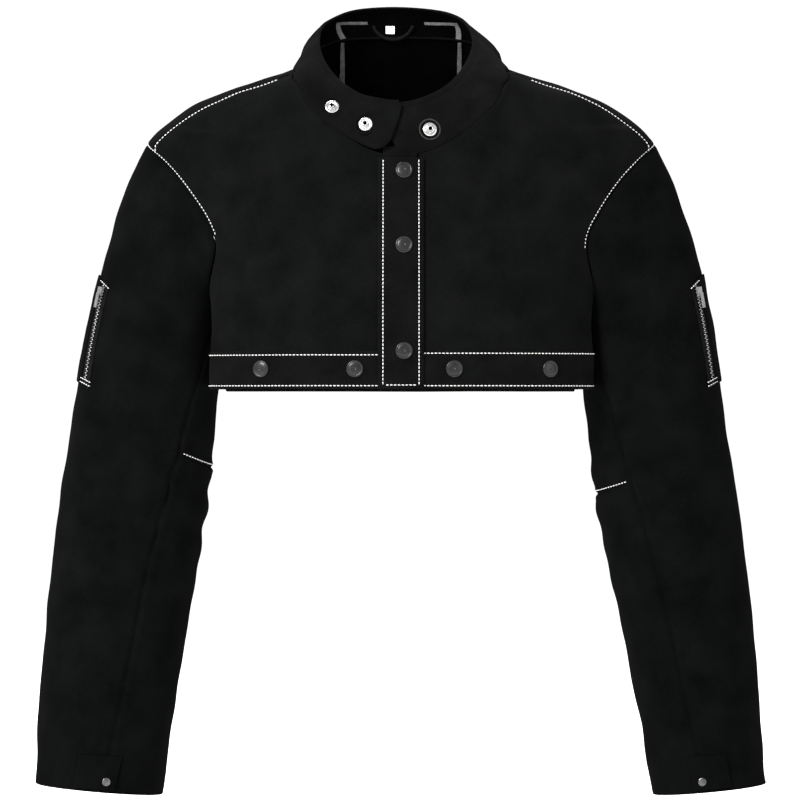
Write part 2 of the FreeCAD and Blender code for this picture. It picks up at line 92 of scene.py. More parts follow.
# Angle round the neck, angle on the body, height.
NECK = np.array([
    (0, 0, -90), (20, 5, -82.5), (39, 12, -64), (51, 20.5, -42), (60, 33.5, -19.5),
    (71, 57, -5.5), (79, 71, -1.5), (90, 90, 0.5), (97, 99, 9), (105, 106.2, 20),
    (119, 122.6, 30), (130, 131.5, 34.3), (146, 150, 37.3), (180, 180, 39),
], float)
# Station, outer edge (x, z), inner edge (x, z), half depth, middle of the depth.
SLEEVE = {
    "left": np.array([
        (0, 254, -75, 177, -259, 66, 4), (1, 275, -122, 180, -285, 65, 3),
        (2, 296, -190, 182, -315, 63, 1), (3, 313, -272, 186, -355, 61, -2),
        (4, 327, -370, 193, -417, 60, -6), (5, 341, -465, 205, -487, 59, -12),
        (6, 350, -550, 220, -559, 57, -20), (7, 358, -637, 234, -639, 54, -29),
        (8, 363, -709, 249, -720, 51, -38),
    ], float),
    "right": np.array([
        (0, 254, -75, 177, -259, 66, 4), (1, 276, -122, 181, -285, 65, 3),
        (2, 298, -190, 183, -315, 63, 1), (3, 317, -272, 187, -355, 61, -2),
        (4, 332, -370, 192, -417, 60, -6), (5, 345, -465, 201, -487, 59, -12),
        (6, 354, -550, 211, -559, 57, -20), (7, 361, -637, 224, -639, 54, -29),
        (8, 363, -709, 237, -720, 51, -38),
    ], float),
}
# Turn of the two long sleeve seams by station: 0 is the outer edge, 90 the front.
FRONT_SEAM = np.array([(0, 150), (2, 138), (3, 130), (5, 112), (6.5, 105), (8, 96)], float)
BACK_SEAM = np.array([(0, 215), (3, 225), (5, 238), (8, 250)], float)
ELBOW_SEAM = {"left": 4.1, "right": 3.7}  # station of the seam across the elbow
PLACKET_SNAPS = (-106.0, -179.0, -282.0)  # heights
PLACKET_SNAP_X = 3.0
HEM_SNAPS = {"left": (52.0, 146.0), "right": (45.0, 137.0)}  # distances from the middle
HEM_SNAP_Z = -299.5
CUFF_SNAP_ROW = 7.83  # station of the cuff snap
HEM_STITCH_TOP = {"left": -284.4, "right": -286.0}  # height of the upper stitch row
HEM_STITCH_UP = 1.9  # lower stitch row above the edge of the front hem
PLACKET_STITCH_UP = 2.4  # the same on the placket
ARMHOLE_STITCH_END = {"left": -181.0, "right": -167.5}  # where the front row stops
NECK_TAPE_Z = 51.0
NECK_TAPE_HALF = 1.4
# Ends of the level tape, then foot and head of the upright one, as angles round the neck.
NECK_TAPE = {"left": (131.0, 161.0, 134.2, 132.8), "right": (203.5, 231.3, 226.6, 229.6)}


# ---- Curves and surfaces, as in the design ----
def smooth(x):
    """0 below 0, 1 above 1, and an even S between."""
    x = np.clip(x, 0.0, 1.0)
    return x * x * (3 - 2 * x)


def lerp(a, b, f):
    return a + (b - a) * f


def hump(x, width):
    """A rounded rise: 1 at x = 0, fading to nothing about two widths away."""
    return np.exp(-((x / width) ** 2))


def unit(v):
    return v / np.maximum(np.linalg.norm(v, axis=-1, keepdims=True), 1e-9)


def merged(*parts):
    """All the values of some lists, in order and without repeats."""
    return np.unique(np.concatenate(parts))


def share_after(v, start, end=1.0):
    """How far v has come from start to end, held between 0 and 1."""
    return np.clip((v - start) / (end - start), 0, 1)


def spline(table, x):
    """Every column of a table at x, as smooth curves through its rows."""
    x = np.asarray(x, float)
    i = np.clip(np.searchsorted(table[:, 0], x, side="left") - 1, 0, len(table) - 2)
    before = table[np.maximum(i - 1, 0)]
    low = table[i]
    high = table[i + 1]
    after = table[np.minimum(i + 2, len(table) - 1)]
    span = high[..., 0] - low[..., 0]
    f = np.clip((x - low[..., 0]) / span, 0.0, 1.0)
    columns = []
    for k in range(1, table.shape[1]):
        slope_low = (high[..., k] - before[..., k]) / (high[..., 0] - before[..., 0]) * span
        slope_high = (after[..., k] - low[..., k]) / (after[..., 0] - low[..., 0]) * span
        columns.append(
            low[..., k] * (2 * f**3 - 3 * f**2 + 1)
            + slope_low * (f**3 - 2 * f**2 + f)
            + high[..., k] * (3 * f**2 - 2 * f**3)
            + slope_high * (f**3 - f**2)
        )
    return columns


def body(angle, z):
    """The plain surface of the body."""
    angle = (np.asarray(angle, float) + 180) % 360 - 180
    z = np.asarray(z, float)
    corner, side, front, back = spline(BODY, z)
    turn = np.abs(angle)
    width = lerp(corner, side, smooth((turn - 60) / 30))
    sine = np.clip(np.sin(np.radians(turn)), 0, 1)
    cosine = np.cos(np.radians(turn))
    x = np.sign(angle) * width * sine ** (2 / ROUNDNESS)
    depth = np.where(cosine > 0, front, back)
    y = -np.sign(cosine) * depth * np.abs(cosine) ** (2 / ROUNDNESS)
    return np.stack(np.broadcast_arrays(x, y, z), -1)


def body_angle(x, z, behind=False):
    """The angle at which the body is x wide, at height z."""
    corner, side = spline(BODY, z)[:2]
    ratio = np.minimum(1.0, np.abs(x) / (side if behind else corner)) ** (ROUNDNESS / 2)
    angle = np.degrees(np.arcsin(ratio))
    return 180 - angle if behind else np.sign(x) * angle


def normals(surface, p, q, step_p, step_q):
    along_p = surface(p + step_p, q) - surface(p - step_p, q)
    along_q = surface(p, q + step_q) - surface(p, q - step_q)
    return unit(np.cross(along_p, along_q))


def waves(points, seed, wavelength, count=9):
    """Soft undulation between about -1 and 1, the same for every piece at a place."""
    rng = np.random.default_rng(seed)
    total = 0.0
    for _ in range(count):
        direction = rng.normal(size=3)
        direction /= np.linalg.norm(direction)
        length = wavelength * rng.uniform(0.7, 1.5)
        total = total + np.sin(points @ direction * 2 * math.pi / length + rng.uniform(0, 6.28))
    return total / math.sqrt(count)


def calm(points, spots, near=9.0, far=34.0):
    """0 close to any of the spots, rising to 1 away from them."""
    keep = np.ones(points.shape[:-1])
    for spot in spots:
        away = np.linalg.norm(points - spot, axis=-1)
        keep = np.minimum(keep, smooth((away - near) / (far - near)))
    return keep


def body_drape(points):
    """Gentle folds of the body: chest drape, a slightly wavy hem and small dents."""
    low = smooth((-120 - points[..., 2]) / 190)
    folds = waves(points * np.array([1, 1, 0.35]), 3, 95) * (0.5 + 1.3 * low)
    return (folds + waves(points, 5, 38) * 0.35) * calm(points, BODY_SPOTS)


def body_point(angle, z, lift):
    """The draped body, lift above its surface."""
    base = body(angle, z)
    reach = lift + body_drape(base)
    return base + normals(body, angle, z, 0.8, 0.8) * np.asarray(reach)[..., None]


def neck(phi):
    """Body angle and height of the neck seam."""
    phi = (np.asarray(phi, float) + 180) % 360 - 180
    angle, z = spline(NECK, np.abs(phi))
    return np.sign(phi) * angle, z


def armhole(t):
    """Body angle and height of the armhole seam: t is 0 at its top and 90 in front."""
    t = np.asarray(t, float) % 360
    z = ARMHOLE_MID + ARMHOLE_HALF * np.cos(np.radians(t))
    sine = np.sin(np.radians(t))
    below = np.where(sine >= 0, t - 90, 270 - t)
    reach = np.where(sine >= 0, 34, 30) * sine * (1 - 0.45 * smooth(below / 60))
    return 90 - reach, z


def seam_angle(z):
    """Body angle of a back seam."""
    return body_angle(PRINCESS, z, behind=True)


def shoulder_seam(side, z):
    """Body angle of a shoulder seam, from the armhole at z = -81 to the neck at -5."""
    low, high = {"left": (77, 62), "right": (75, 56)}[side]
    return lerp(low, high, (z + 81) / 76)


def sleeve(side, t, station):
    """The plain surface of a sleeve; it starts on the armhole and is round from 2.2 on."""
    t = np.asarray(t, float)
    turn = np.radians(t)
    station = np.asarray(station, float)

    def ring(columns):
        ox, oz, ix, iz, depth, centre = columns
        x = (ox + ix) / 2 + (ox - ix) / 2 * np.cos(turn)
        z = (oz + iz) / 2 + (oz - iz) / 2 * np.cos(turn)
        return np.stack(np.broadcast_arrays(x, centre - depth * np.sin(turn), z), -1)

    points = ring(spline(SLEEVE[side], station))
    start = ring(list(SLEEVE[side][0][1:]))
    fade = np.maximum(0.0, 1 - station / 2.2) ** 2
    points = points + (body(*armhole(t)) - start) * np.asarray(fade)[..., None]
    return points * np.array([SIDES[side], 1, 1])


def sleeve_drape(side, t, station, points):
    """Folds of a sleeve: dents everywhere, crush folds inside the elbow, a full head."""
    seed = 11 if side == "left" else 23
    soft = waves(points * np.array([1, 1, 0.6]), seed, 120) * 1.6
    soft = soft + waves(points, seed + 1, 45) * 0.5
    elbow = hump(station - 4.25, 0.75)
    inner = smooth((np.cos(np.radians(t - 165)) + 0.35) / 1.2)
    crush = np.sin(station * 11.0 + np.radians(t) * 1.3) * 1.7 * elbow * inner
    armpit = hump(station - 1.0, 0.8) * smooth(np.cos(np.radians(t - 150)))
    gather = np.sin(np.radians(t) * 9 + station * 1.5) * 1.3 * armpit
    return (soft + crush + gather) * smooth(station / 0.5) * calm(points, SLEEVE_SPOTS[side])


BODY_SPOTS = [body(body_angle(PLACKET_SNAP_X, z), z) for z in PLACKET_SNAPS]
for _side, _sign in SIDES.items():
    for _x in HEM_SNAPS[_side]:
        BODY_SPOTS.append(body(body_angle(_sign * _x, HEM_SNAP_Z), HEM_SNAP_Z))
SLEEVE_SPOTS = {}
for _side in SIDES:
    _zip = [sleeve(_side, 32.0, station) for station in np.linspace(2.2, 3.35, 7)]
    _snap = sleeve(_side, spline(FRONT_SEAM, CUFF_SNAP_ROW)[0] + 1.0, CUFF_SNAP_ROW)
    SLEEVE_SPOTS[_side] = _zip + [_snap]


def sleeve_point(side, t, station, lift):
    """The draped sleeve, lift above its surface."""
    def surface(p, q):
        return sleeve(side, p, q)

    base = sleeve(side, t, station)
    normal = normals(surface, t, station, 1.0, 0.02) * SIDES[side]
    return base + normal * np.asarray(lift + sleeve_drape(side, t, station, base))[..., None]


def collar(phi, rise):
    """The plain surface of the collar; rise is 0 at the neck seam and 1 at the top."""
    phi = np.asarray(phi, float)
    rise = np.asarray(rise, float)[..., None]
    turn = np.radians(phi)
    side = np.sin(turn)
    low = body(*neck(phi))
    height = 15.5 - 52.5 * np.cos(turn) + 16 * side**2
    top = np.stack([-5 + 78 * side, 4 - 76 * np.cos(turn), height], -1)
    bulge = np.stack([side, -np.cos(turn), 0 * side], -1) * 4 * np.sin(math.pi * rise)
    return low + (top - low) * rise + bulge


# Body that each bare stud rides on, its place on the collar, and its lift.
STUDS = {
    "right": ("front_right", -43.0, 0.4, 0.35),
    "tab": ("throat_tab", -21.5, 0.44, 2.9),
    "left": ("front_left", 20.0, 0.37, 0.35),
}
COLLAR_SPOTS = [collar(phi, rise) for _body, phi, rise, _lift in STUDS.values()]


def collar_point(phi, rise, lift):
    """The draped collar, lift above its surface."""
    base = collar(phi, rise)
    soft = waves(base, 31, 60) * 0.7 * smooth(rise * 2) * calm(base, COLLAR_SPOTS, 12.0, 26.0)
    return base + normals(collar, phi, rise, 1.0, 0.02) * np.asarray(lift + soft)[..., None]


# ---- Meshes ----
def new_object(name, vertices, faces, material):
    """A smooth mesh object from vertices in millimetres."""
    mesh = bpy.data.meshes.new(name)
    mesh.from_pydata([tuple(v) for v in np.asarray(vertices) * MM], [], faces)
    mesh.polygons.foreach_set("use_smooth", [True] * len(mesh.polygons))
    mesh.validate()
    mesh.materials.append(material)
    piece = bpy.data.objects.new(name, mesh)
    bpy.context.scene.collection.objects.link(piece)
    return piece


def grid_faces(rows, cols, closed_rows=False, closed_cols=False, start=0):
    """Quads over a grid of points stored row by row."""
    faces = []
    for i in range(rows if closed_rows else rows - 1):
        for j in range(cols if closed_cols else cols - 1):
            a = start + i * cols + j
            b = start + i * cols + (j + 1) % cols
            c = start + (i + 1) % rows * cols + (j + 1) % cols
            d = start + (i + 1) % rows * cols + j
            faces.append((a, b, c, d))
    return faces


def sheet(name, point, us, vs, thickness, material, lift=0.0, closed=False):
    """Leather between point(u, v, lift) and the same surface one thickness deeper.
    Its free edges are rounded; a closed sheet joins its last u to its first."""
    u, v = np.meshgrid(us, vs)
    lifts = lift(u, v) if callable(lift) else np.full(u.shape, float(lift))
    outer = point(u, v, lifts)
    inner = point(u, v, lifts - thickness)
    deep = outer - inner

    def layer(share, grow):
        """Points part of the way down, pushed outward along the edges by grow mm."""
        points = outer - deep * share
        moved = points.copy()
        ways = [] if closed else [(points.swapaxes(0, 1), moved.swapaxes(0, 1))]
        for still, pushed in ways + [(points, moved)]:
            for edge, beside in ((0, 1), (-1, -2)):
                pushed[edge] += unit(still[edge] - still[beside]) * grow
        return moved

    rows, cols = u.shape
    skins = [outer, layer(1.0, 0.0)]
    vertices = [skin.reshape(-1, 3) for skin in skins]
    first = grid_faces(rows, cols, closed_cols=closed)
    under = grid_faces(rows, cols, closed_cols=closed, start=rows * cols)
    faces = first + [face[::-1] for face in under]
    rim = []
    if closed:
        rings = [[i * cols + j for j in range(cols)] for i in (0, rows - 1)]
    else:
        around = list(range(cols)) + [i * cols + cols - 1 for i in range(1, rows)]
        around += [(rows - 1) * cols + j for j in range(cols - 2, -1, -1)]
        around += [i * cols for i in range(rows - 2, 0, -1)]
        rings = [around]
    bands = [(0.18, 0.32 * thickness), (0.5, 0.5 * thickness), (0.82, 0.32 * thickness)]
    layers = [layer(share, grow).reshape(-1, 3) for share, grow in bands]
    count = 2 * rows * cols
    for k, ring in enumerate(rings):
        previous = ring
        for edge_layer in layers:
            current = list(range(count, count + len(ring)))
            rim.append(edge_layer[ring])
            count += len(ring)
            faces += strip(previous, current, flip=closed and k == 1)
            previous = current
        faces += strip(previous, [i + rows * cols for i in ring], flip=closed and k == 1)
    piece = new_object(name, np.concatenate(vertices + rim), faces, material)
    # The inner faces of suede pieces take the darker material, painted shade inside the jacket.
    if material in (suede, shaded_sleeve_suede, band_suede):
        piece.data.materials.append(inner_shade)
        for face in piece.data.polygons[len(first) : len(first) + len(under)]:
            face.material_index = 1
    turn_out(piece)
    return piece


def strip(first, second, flip=False):
    """Quads between two closed rings of vertex numbers."""
    quads = []
    for i in range(len(first)):
        j = (i + 1) % len(first)
        quad = (first[i], second[i], second[j], first[j])
        quads.append(quad[::-1] if flip else quad)
    return quads


def turn_out(piece):
    """Makes every face point out of its solid."""
    work = bmesh.new()
    work.from_mesh(piece.data)
    bmesh.ops.recalc_face_normals(work, faces=work.faces)
    work.to_mesh(piece.data)
    work.free()


def spaced(points, pitch):
    """Even places along a path, with their directions."""
    steps = np.linalg.norm(np.diff(points, axis=0), axis=1)
    along = np.concatenate([[0], np.cumsum(steps)])
    count = max(2, int(along[-1] / pitch))
    wanted = (np.arange(count) + 0.5) * along[-1] / count
    spots = np.stack([np.interp(wanted, along, points[:, k]) for k in range(3)], -1)
    ahead = np.stack([np.interp(wanted + 0.5, along, points[:, k]) for k in range(3)], -1)
    behind = np.stack([np.interp(wanted - 0.5, along, points[:, k]) for k in range(3)], -1)
    return spots, unit(ahead - behind)


def stitches(name, paths, radius=0.55):
    """Thread along paths: each stitch a short tube that dives into the leather at its ends.
    A path is a list of points and the outward normals there."""
    ring = 6
    # Along the stitch, in lengths; width and height, in radii.
    shape = [
        (-0.5, 0.35, -0.5), (-0.38, 0.85, 0.05), (0.0, 1.0, 0.35), (0.38, 0.85, 0.05),
        (0.5, 0.35, -0.5),
    ]
    vertices, faces = [], []
    rng = np.random.default_rng(7)
    for points, outward in paths:
        spots, ways = spaced(points, STITCH_PITCH)
        ups = nearest(points, outward, spots)
        for spot, way, up in zip(spots, ways, ups):
            across = unit(np.cross(up, way))
            up = np.cross(way, across)
            way = way + across * rng.normal() * 0.05
            start = len(vertices)
            for place, wide, high in shape:
                centre = spot + way * place * STITCH_LENGTH + up * high * radius
                for k in range(ring):
                    turn = 2 * math.pi * k / ring
                    out = across * math.cos(turn) + up * math.sin(turn)
                    vertices.append(centre + out * radius * wide)
            faces += grid_faces(len(shape), ring, closed_cols=True, start=start)
            faces.append(tuple(range(start + ring - 1, start - 1, -1)))
            faces.append(tuple(start + (len(shape) - 1) * ring + k for k in range(ring)))
    piece = new_object(name, np.array(vertices), faces, thread)
    turn_out(piece)
    return piece


def nearest(points, values, spots):
    """For each spot, the value at the closest of the points."""
    chosen = []
    for spot in spots:
        chosen.append(values[np.argmin(np.linalg.norm(points - spot, axis=1))])
    return np.array(chosen)


def path_on(point, p, q, lift):
    """A stitch path at parameters p, q of a surface function, with its normals."""
    on = point(p, q, np.full(np.shape(p), float(lift)))
    above = point(p, q, np.full(np.shape(p), float(lift) + 1.0))
    return on, unit(above - on)


def dense(count, ends=0.0):
    """count even steps from 0 to 1, with extra ones just inside both ends."""
    steps = np.linspace(0, 1, count)
    if ends:
        extra = np.array([0.15, 0.35, 0.6, 1.0]) * ends
        steps = merged(steps, extra, 1 - extra)
    return steps


# ---- Materials ----
def put(node, values):
    """Sets a shader node's inputs by name."""
    for key, value in values.items():
        node.inputs[key].default_value = value


def procedural(
    name, dark, light, patch, grain, depth, rough, metallic=0.0, sheen=0.0, weave=0.0, shine=0.5
):
    """Two tones mixed in patches and grain (sizes in mm), with a fine raised texture."""
    made = bpy.data.materials.new(name)
    made.use_nodes = True
    nodes, links = made.node_tree.nodes, made.node_tree.links
    shader = nodes["Principled BSDF"]
    put(shader, {"Metallic": metallic, "Specular IOR Level": shine})
    put(shader, {"Sheen Weight": sheen, "Sheen Roughness": 0.55})
    coords = nodes.new("ShaderNodeTexCoord")

    def noise(size, detail):
        node = nodes.new("ShaderNodeTexNoise")
        put(node, {"Scale": 1000.0 / size, "Detail": detail})
        links.new(coords.outputs["Object"], node.inputs["Vector"])
        return node.outputs["Fac"]

    def blend_of(a, b, share):
        node = nodes.new("ShaderNodeMix")
        node.inputs["Factor"].default_value = share
        links.new(a, node.inputs["A"])
        links.new(b, node.inputs["B"])
        return node.outputs["Result"]

    big, small = noise(patch, 3.0), noise(grain, 4.0)
    tone = blend_of(big, small, 0.5)
    if weave:
        for direction in ("X", "Z"):
            wave = nodes.new("ShaderNodeTexWave")
            wave.bands_direction = direction
            put(wave, {"Scale": 300.0 / weave, "Distortion": 1.5})
            links.new(coords.outputs["Object"], wave.inputs["Vector"])
            small = blend_of(small, wave.outputs["Fac"], 0.4)
    ramp = nodes.new("ShaderNodeValToRGB")
    for element, position, colour in zip(ramp.color_ramp.elements, (0.36, 0.64), (dark, light)):
        element.position = position
        element.color = (*colour, 1)
    links.new(tone, ramp.inputs["Fac"])
    links.new(ramp.outputs["Color"], shader.inputs["Base Color"])
    span = nodes.new("ShaderNodeMapRange")
    put(span, {"From Min": 0.3, "From Max": 0.7, "To Min": rough[0], "To Max": rough[1]})
    links.new(small, span.inputs["Value"])
    links.new(span.outputs["Result"], shader.inputs["Roughness"])
    bump = nodes.new("ShaderNodeBump")
    put(bump, {"Strength": 0.6, "Distance": depth * MM})
    links.new(small, bump.inputs["Height"])
    links.new(bump.outputs["Normal"], shader.inputs["Normal"])
    return made


suede = procedural(
    "suede", (0.0016, 0.0017, 0.0017), (0.0037, 0.0039, 0.0038),
    patch=34, grain=0.9, depth=0.6, rough=(0.66, 0.88), sheen=0.007, shine=0.0,
)
# Darker copy of the suede for the sleeves, pockets and cuff tabs: painted shade, since the sleeves
# get less light than the body.
shaded_sleeve_suede = procedural(
    "shaded_sleeve_suede", (0.0011, 0.0012, 0.0012), (0.0028, 0.003, 0.0029),
    patch=34, grain=0.9, depth=0.6, rough=(0.66, 0.88), sheen=0.005, shine=0.0,
)
band_suede = procedural(
    "band_suede", (0.0019, 0.0019, 0.0019), (0.0036, 0.0038, 0.0037),
    patch=24, grain=0.9, depth=0.6, rough=(0.64, 0.86), sheen=0.007, shine=0.0,
)
# Much darker than the suede: painted shade for the inner faces of the leather and the facing under
# the placket.
inner_shade = procedural(
    "inner_painted_shade", (0.0004, 0.0004, 0.0005), (0.001, 0.001, 0.0011),
    patch=20, grain=1.2, depth=0.6, rough=(0.8, 0.95), sheen=0.002, shine=0.0,
)
thread = procedural(
    "thread", (0.36, 0.36, 0.35), (0.62, 0.62, 0.6),
    patch=5, grain=0.35, depth=0.12, rough=(0.55, 0.75), shine=0.2,
)
enamel = procedural(
    "snap_black", (0.003, 0.003, 0.0033), (0.009, 0.009, 0.0095),
    patch=6, grain=0.5, depth=0.03, rough=(0.24, 0.4), metallic=0.1, shine=0.3,
)
nickel = procedural(
    "snap_silver", (0.34, 0.34, 0.34), (0.62, 0.62, 0.61),
    patch=2.5, grain=0.6, depth=0.03, rough=(0.16, 0.3), metallic=1.0,
)
dull_nickel = procedural(
    "snap_dull", (0.05, 0.05, 0.05), (0.16, 0.16, 0.155),
    patch=2.5, grain=0.6, depth=0.03, rough=(0.2, 0.36), metallic=1.0,
)
# Lighter tone for the ring round the left collar stud.
light_ring = procedural(
    "lighter_ring", (0.01, 0.01, 0.01), (0.024, 0.024, 0.023),
    patch=3, grain=0.4, depth=0.1, rough=(0.5, 0.7), shine=0.1,
)
zip_metal = procedural(
    "zip_metal", (0.2, 0.2, 0.2), (0.42, 0.42, 0.41),
    patch=3, grain=0.4, depth=0.03, rough=(0.26, 0.45), metallic=1.0,
)
tape_cloth = procedural(
    "tape", (0.0012, 0.0012, 0.0014), (0.004, 0.004, 0.0043),
    patch=5, grain=0.5, depth=0.25, rough=(0.8, 0.95), weave=1.0, shine=0.05,
)
cord = procedural(
    "hanger_cord", (0.0012, 0.0012, 0.0013), (0.004, 0.004, 0.0042),
    patch=3, grain=0.4, depth=0.2, rough=(0.7, 0.9), shine=0.05,
)
binding = procedural(
    "binding", (0.03, 0.03, 0.032), (0.09, 0.09, 0.094),
    patch=6, grain=0.5, depth=0.25, rough=(0.8, 0.95), weave=1.0, shine=0.15,
)
label_cloth = procedural(
    "label", (0.72, 0.72, 0.7), (0.88, 0.88, 0.86),
    patch=3, grain=0.4, depth=0.15, rough=(0.75, 0.9), weave=0.6,
)


def with_front(piece):
    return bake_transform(piece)


def with_collar(piece, side):
    ends = [collar(SIDES[side] * phi, 0.5) * MM for phi in (FOLD_PHI[1], FOLD_PHI[0])]
    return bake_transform(piece)


def with_tab(piece):
    ends = [collar(phi, 0.5) * MM for phi in TAB_BEND]
    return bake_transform(piece)


def with_shoulder(piece):
    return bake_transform(piece)


def with_elbow(piece):
    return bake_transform(piece)


# ---- Panels of the body ----
def between_edges(inner, outer, relief=None):
    """A surface from edge to edge; relief(u, v) adds to its lift."""

    def point(u, v, lift):
        a, b = inner(v), outer(v)
        if relief is not None:
            lift = lift + relief(u, v)
        return body_point(lerp(a[0], b[0], u), lerp(a[1], b[1], u), lift)

    return point


def front_inner(side):
    """The edge of a front by the placket and then round the neck, as angle and height."""
    sign, start, turn = SIDES[side], FRONT_START[side], NECK_SHARE["front"]
    first = {"left": 12.0, "right": -10.0}[side]

    def at(v):
        z = lerp(HEM_TOP + HEM_GAP, neck(first)[1] - NECK_GAP, np.minimum(v / turn, 1))
        angle, high = neck(lerp(first, SHOULDER_PHI["front"], share_after(v, turn)))
        low = v < turn
        angles = sign * np.where(low, body_angle(start, z), angle)
        return angles, np.where(low, z, high - NECK_GAP)

    return at


def front_outer(side):
    """The side edge of a front: side seam, armhole, then shoulder seam."""
    sign, start, turn = SIDES[side], ARMHOLE_SHARE, ARMHOLE_TOP_SHARE

    def at(v):
        z = lerp(HEM_TOP + HEM_GAP, ARMHOLE_MID - ARMHOLE_HALF, np.minimum(v / start, 1))
        angle, mid = armhole(lerp(180, SHOULDER_TURN, share_after(v, start, turn)))
        high = lerp(armhole(SHOULDER_TURN)[1], -8.0, share_after(v, turn))
        over = shoulder_seam(side, high) - 0.2
        angles = np.where(v < start, 90.0, np.where(v < turn, angle, over))
        return sign * angles, np.where(v < start, z, np.where(v < turn, mid, high))

    return at


def back_inner(side):
    """The edge of a back side panel along the back seam and then round the neck."""
    sign, turn = SIDES[side], NECK_SHARE["back"]
    top = neck(BACK_SEAM_PHI)[1] - NECK_GAP

    def at(v):
        z = lerp(BACK_HEM_TOP + HEM_GAP, top, np.minimum(v / turn, 1))
        angle, high = neck(lerp(BACK_SEAM_PHI, SHOULDER_PHI["back"], share_after(v, turn)))
        low = v < turn
        angles = sign * np.where(low, seam_angle(z) - 0.15, angle)
        return angles, np.where(low, z, high - NECK_GAP)

    return at


def back_outer(side):
    """The side edge of the back: side seam, then the armhole from behind."""
    sign, start = SIDES[side], ARMHOLE_SHARE

    def at(v):
        z = lerp(BACK_HEM_TOP + HEM_GAP, ARMHOLE_MID - ARMHOLE_HALF, np.minimum(v / start, 1))
        angle, high = armhole(lerp(180, 360 + SHOULDER_TURN, share_after(v, start)))
        return sign * np.where(v < start, 90.0, angle), np.where(v < start, z, high)

    return at


def back_side_point(side):
    """The side of the back; its top edge lies along the shoulder seam of the front."""
    sign = SIDES[side]
    inner, outer, dip = back_inner(side), back_outer(side), seam_dip(150)

    def flat(u, v):
        a, b = inner(v), outer(v)
        return lerp(a[0], b[0], u), lerp(a[1], b[1], u)

    def point(u, v, lift):
        angle, z = flat(u, v)
        top_angle, top_z = flat(u, 1.0)
        reach = smooth(share_after(v, NECK_SHARE["back"])) * smooth(u / 0.12)
        angle = angle + reach * (sign * shoulder_seam(side, top_z) - top_angle)
        return body_point(angle, z, lift + dip(u, v))

    return point


def seam_dip(width):
    """The leather sinks at both long edges of a panel, where it is sewn to the next."""

    def relief(u, v):
        edge = np.minimum(u, 1 - u) * width
        return -1.3 * hump(edge, 2.2) + 0.35 * hump(edge - 6, 3.0)

    return relief


def build_body():
    corners = [ARMHOLE_SHARE, NECK_SHARE["front"], ARMHOLE_TOP_SHARE, NECK_SHARE["back"]]
    lines = merged(dense(56), corners)
    for side in SIDES:
        point = between_edges(front_inner(side), front_outer(side), seam_dip(190))
        front = sheet(f"front_{side}", point, dense(46, 0.05), lines, LEATHER, suede)
        with_front(front)
        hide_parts(f"front_panel_{side}", f"front_fold_{side}", f"front_side_{side}")
        point = back_side_point(side)
        back = sheet(f"back_side_{side}", point, dense(36, 0.05), lines, LEATHER, suede)
        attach(back, "torso")
        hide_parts(f"back_side_{side}")
    top = neck(BACK_SEAM_PHI)[1]
    dip = seam_dip(2 * PRINCESS)

    def point(u, v, lift):
        z = lerp(BACK_HEM_TOP + HEM_GAP, top - NECK_GAP, v)
        angle = lerp(seam_angle(z) + 0.1, 359.9 - seam_angle(z), u)
        rise = neck(lerp(BACK_SEAM_PHI, 360 - BACK_SEAM_PHI, u))[1] - top
        return body_point(angle, z + rise * smooth((v - 0.6) / 0.4), lift + dip(u, v))

    back = sheet("back_middle", point, dense(30, 0.06), dense(60), LEATHER, suede)
    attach(back, "torso")
    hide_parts("back_centre")


def band(name, first, last, low, high, cols):
    """A folded band between two angle functions of height."""

    def point(u, v, lift_now):
        z = lerp(low, high, v)
        soft = lift_now + 0.35 * np.sin(math.pi * v)
        return body_point(lerp(first(z), last(z), u), z, soft)

    return sheet(name, point, dense(cols, 0.02), dense(10, 0.12), BAND, band_suede, HEM_LIFT)


def build_hem():
    ends = (lambda z: 90.3 + 0 * z, lambda z: 269.7 + 0 * z)
    back = band("hem_back", *ends, BACK_HEM_EDGE, BACK_HEM_TOP, 110)
    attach(back, "torso")
    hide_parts("back_hem")
    for side, sign in SIDES.items():
        start = FRONT_START[side]

        def inner(z, s=sign, x=start):
            return s * body_angle(x, z)

        def outer(z, s=sign):
            return s * 89.8 + 0 * z

        hem = band(f"hem_{side}", inner, outer, HEM_EDGE, HEM_TOP, 70)
        with_front(hem)
        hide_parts(f"hem_front_{side}", f"hem_side_{side}")


def placket_lift(u, _v):
    """Height of the placket over the front: lower at its edges, flat between."""
    edge = np.minimum(u, 1 - u) * 2 * PLACKET_HALF
    return 3.6 + 1.1 * smooth(edge / 6)


def build_placket():
    top = neck(0)[1] - 4.2

    def point(u, v, lift):
        z = lerp(HEM_EDGE - 0.3, top, v)
        return body_point(body_angle(lerp(-PLACKET_HALF, PLACKET_HALF, u), z), z, lift)

    over = sheet("placket", point, dense(16, 0.1), dense(60, 0.01), BAND, band_suede, placket_lift)
    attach(over, "front_left")
    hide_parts("placket_left")

    def above(u, v, lift):
        z = lerp(top - 2, neck(0)[1] + 9, v)
        return body_point(body_angle(lerp(-17, 15, u), z), z, lift)

    stand = sheet(
        "placket_top", above, dense(14, 0.1), dense(10, 0.1), FACING, band_suede, 0.3
    )
    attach(stand, "front_left")

    def under(u, v, lift):
        z = lerp(HEM_EDGE + 0.5, top, v)
        return body_point(body_angle(lerp(-PLACKET_HALF, PLACKET_HALF - 7, u), z), z, lift)

    # The facing under the placket is in the darker material, painted shade.
    facing = sheet("placket_facing", under, dense(12), dense(50), FACING, inner_shade, -3.4)
    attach(facing, "front_right")
    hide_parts("placket_right")


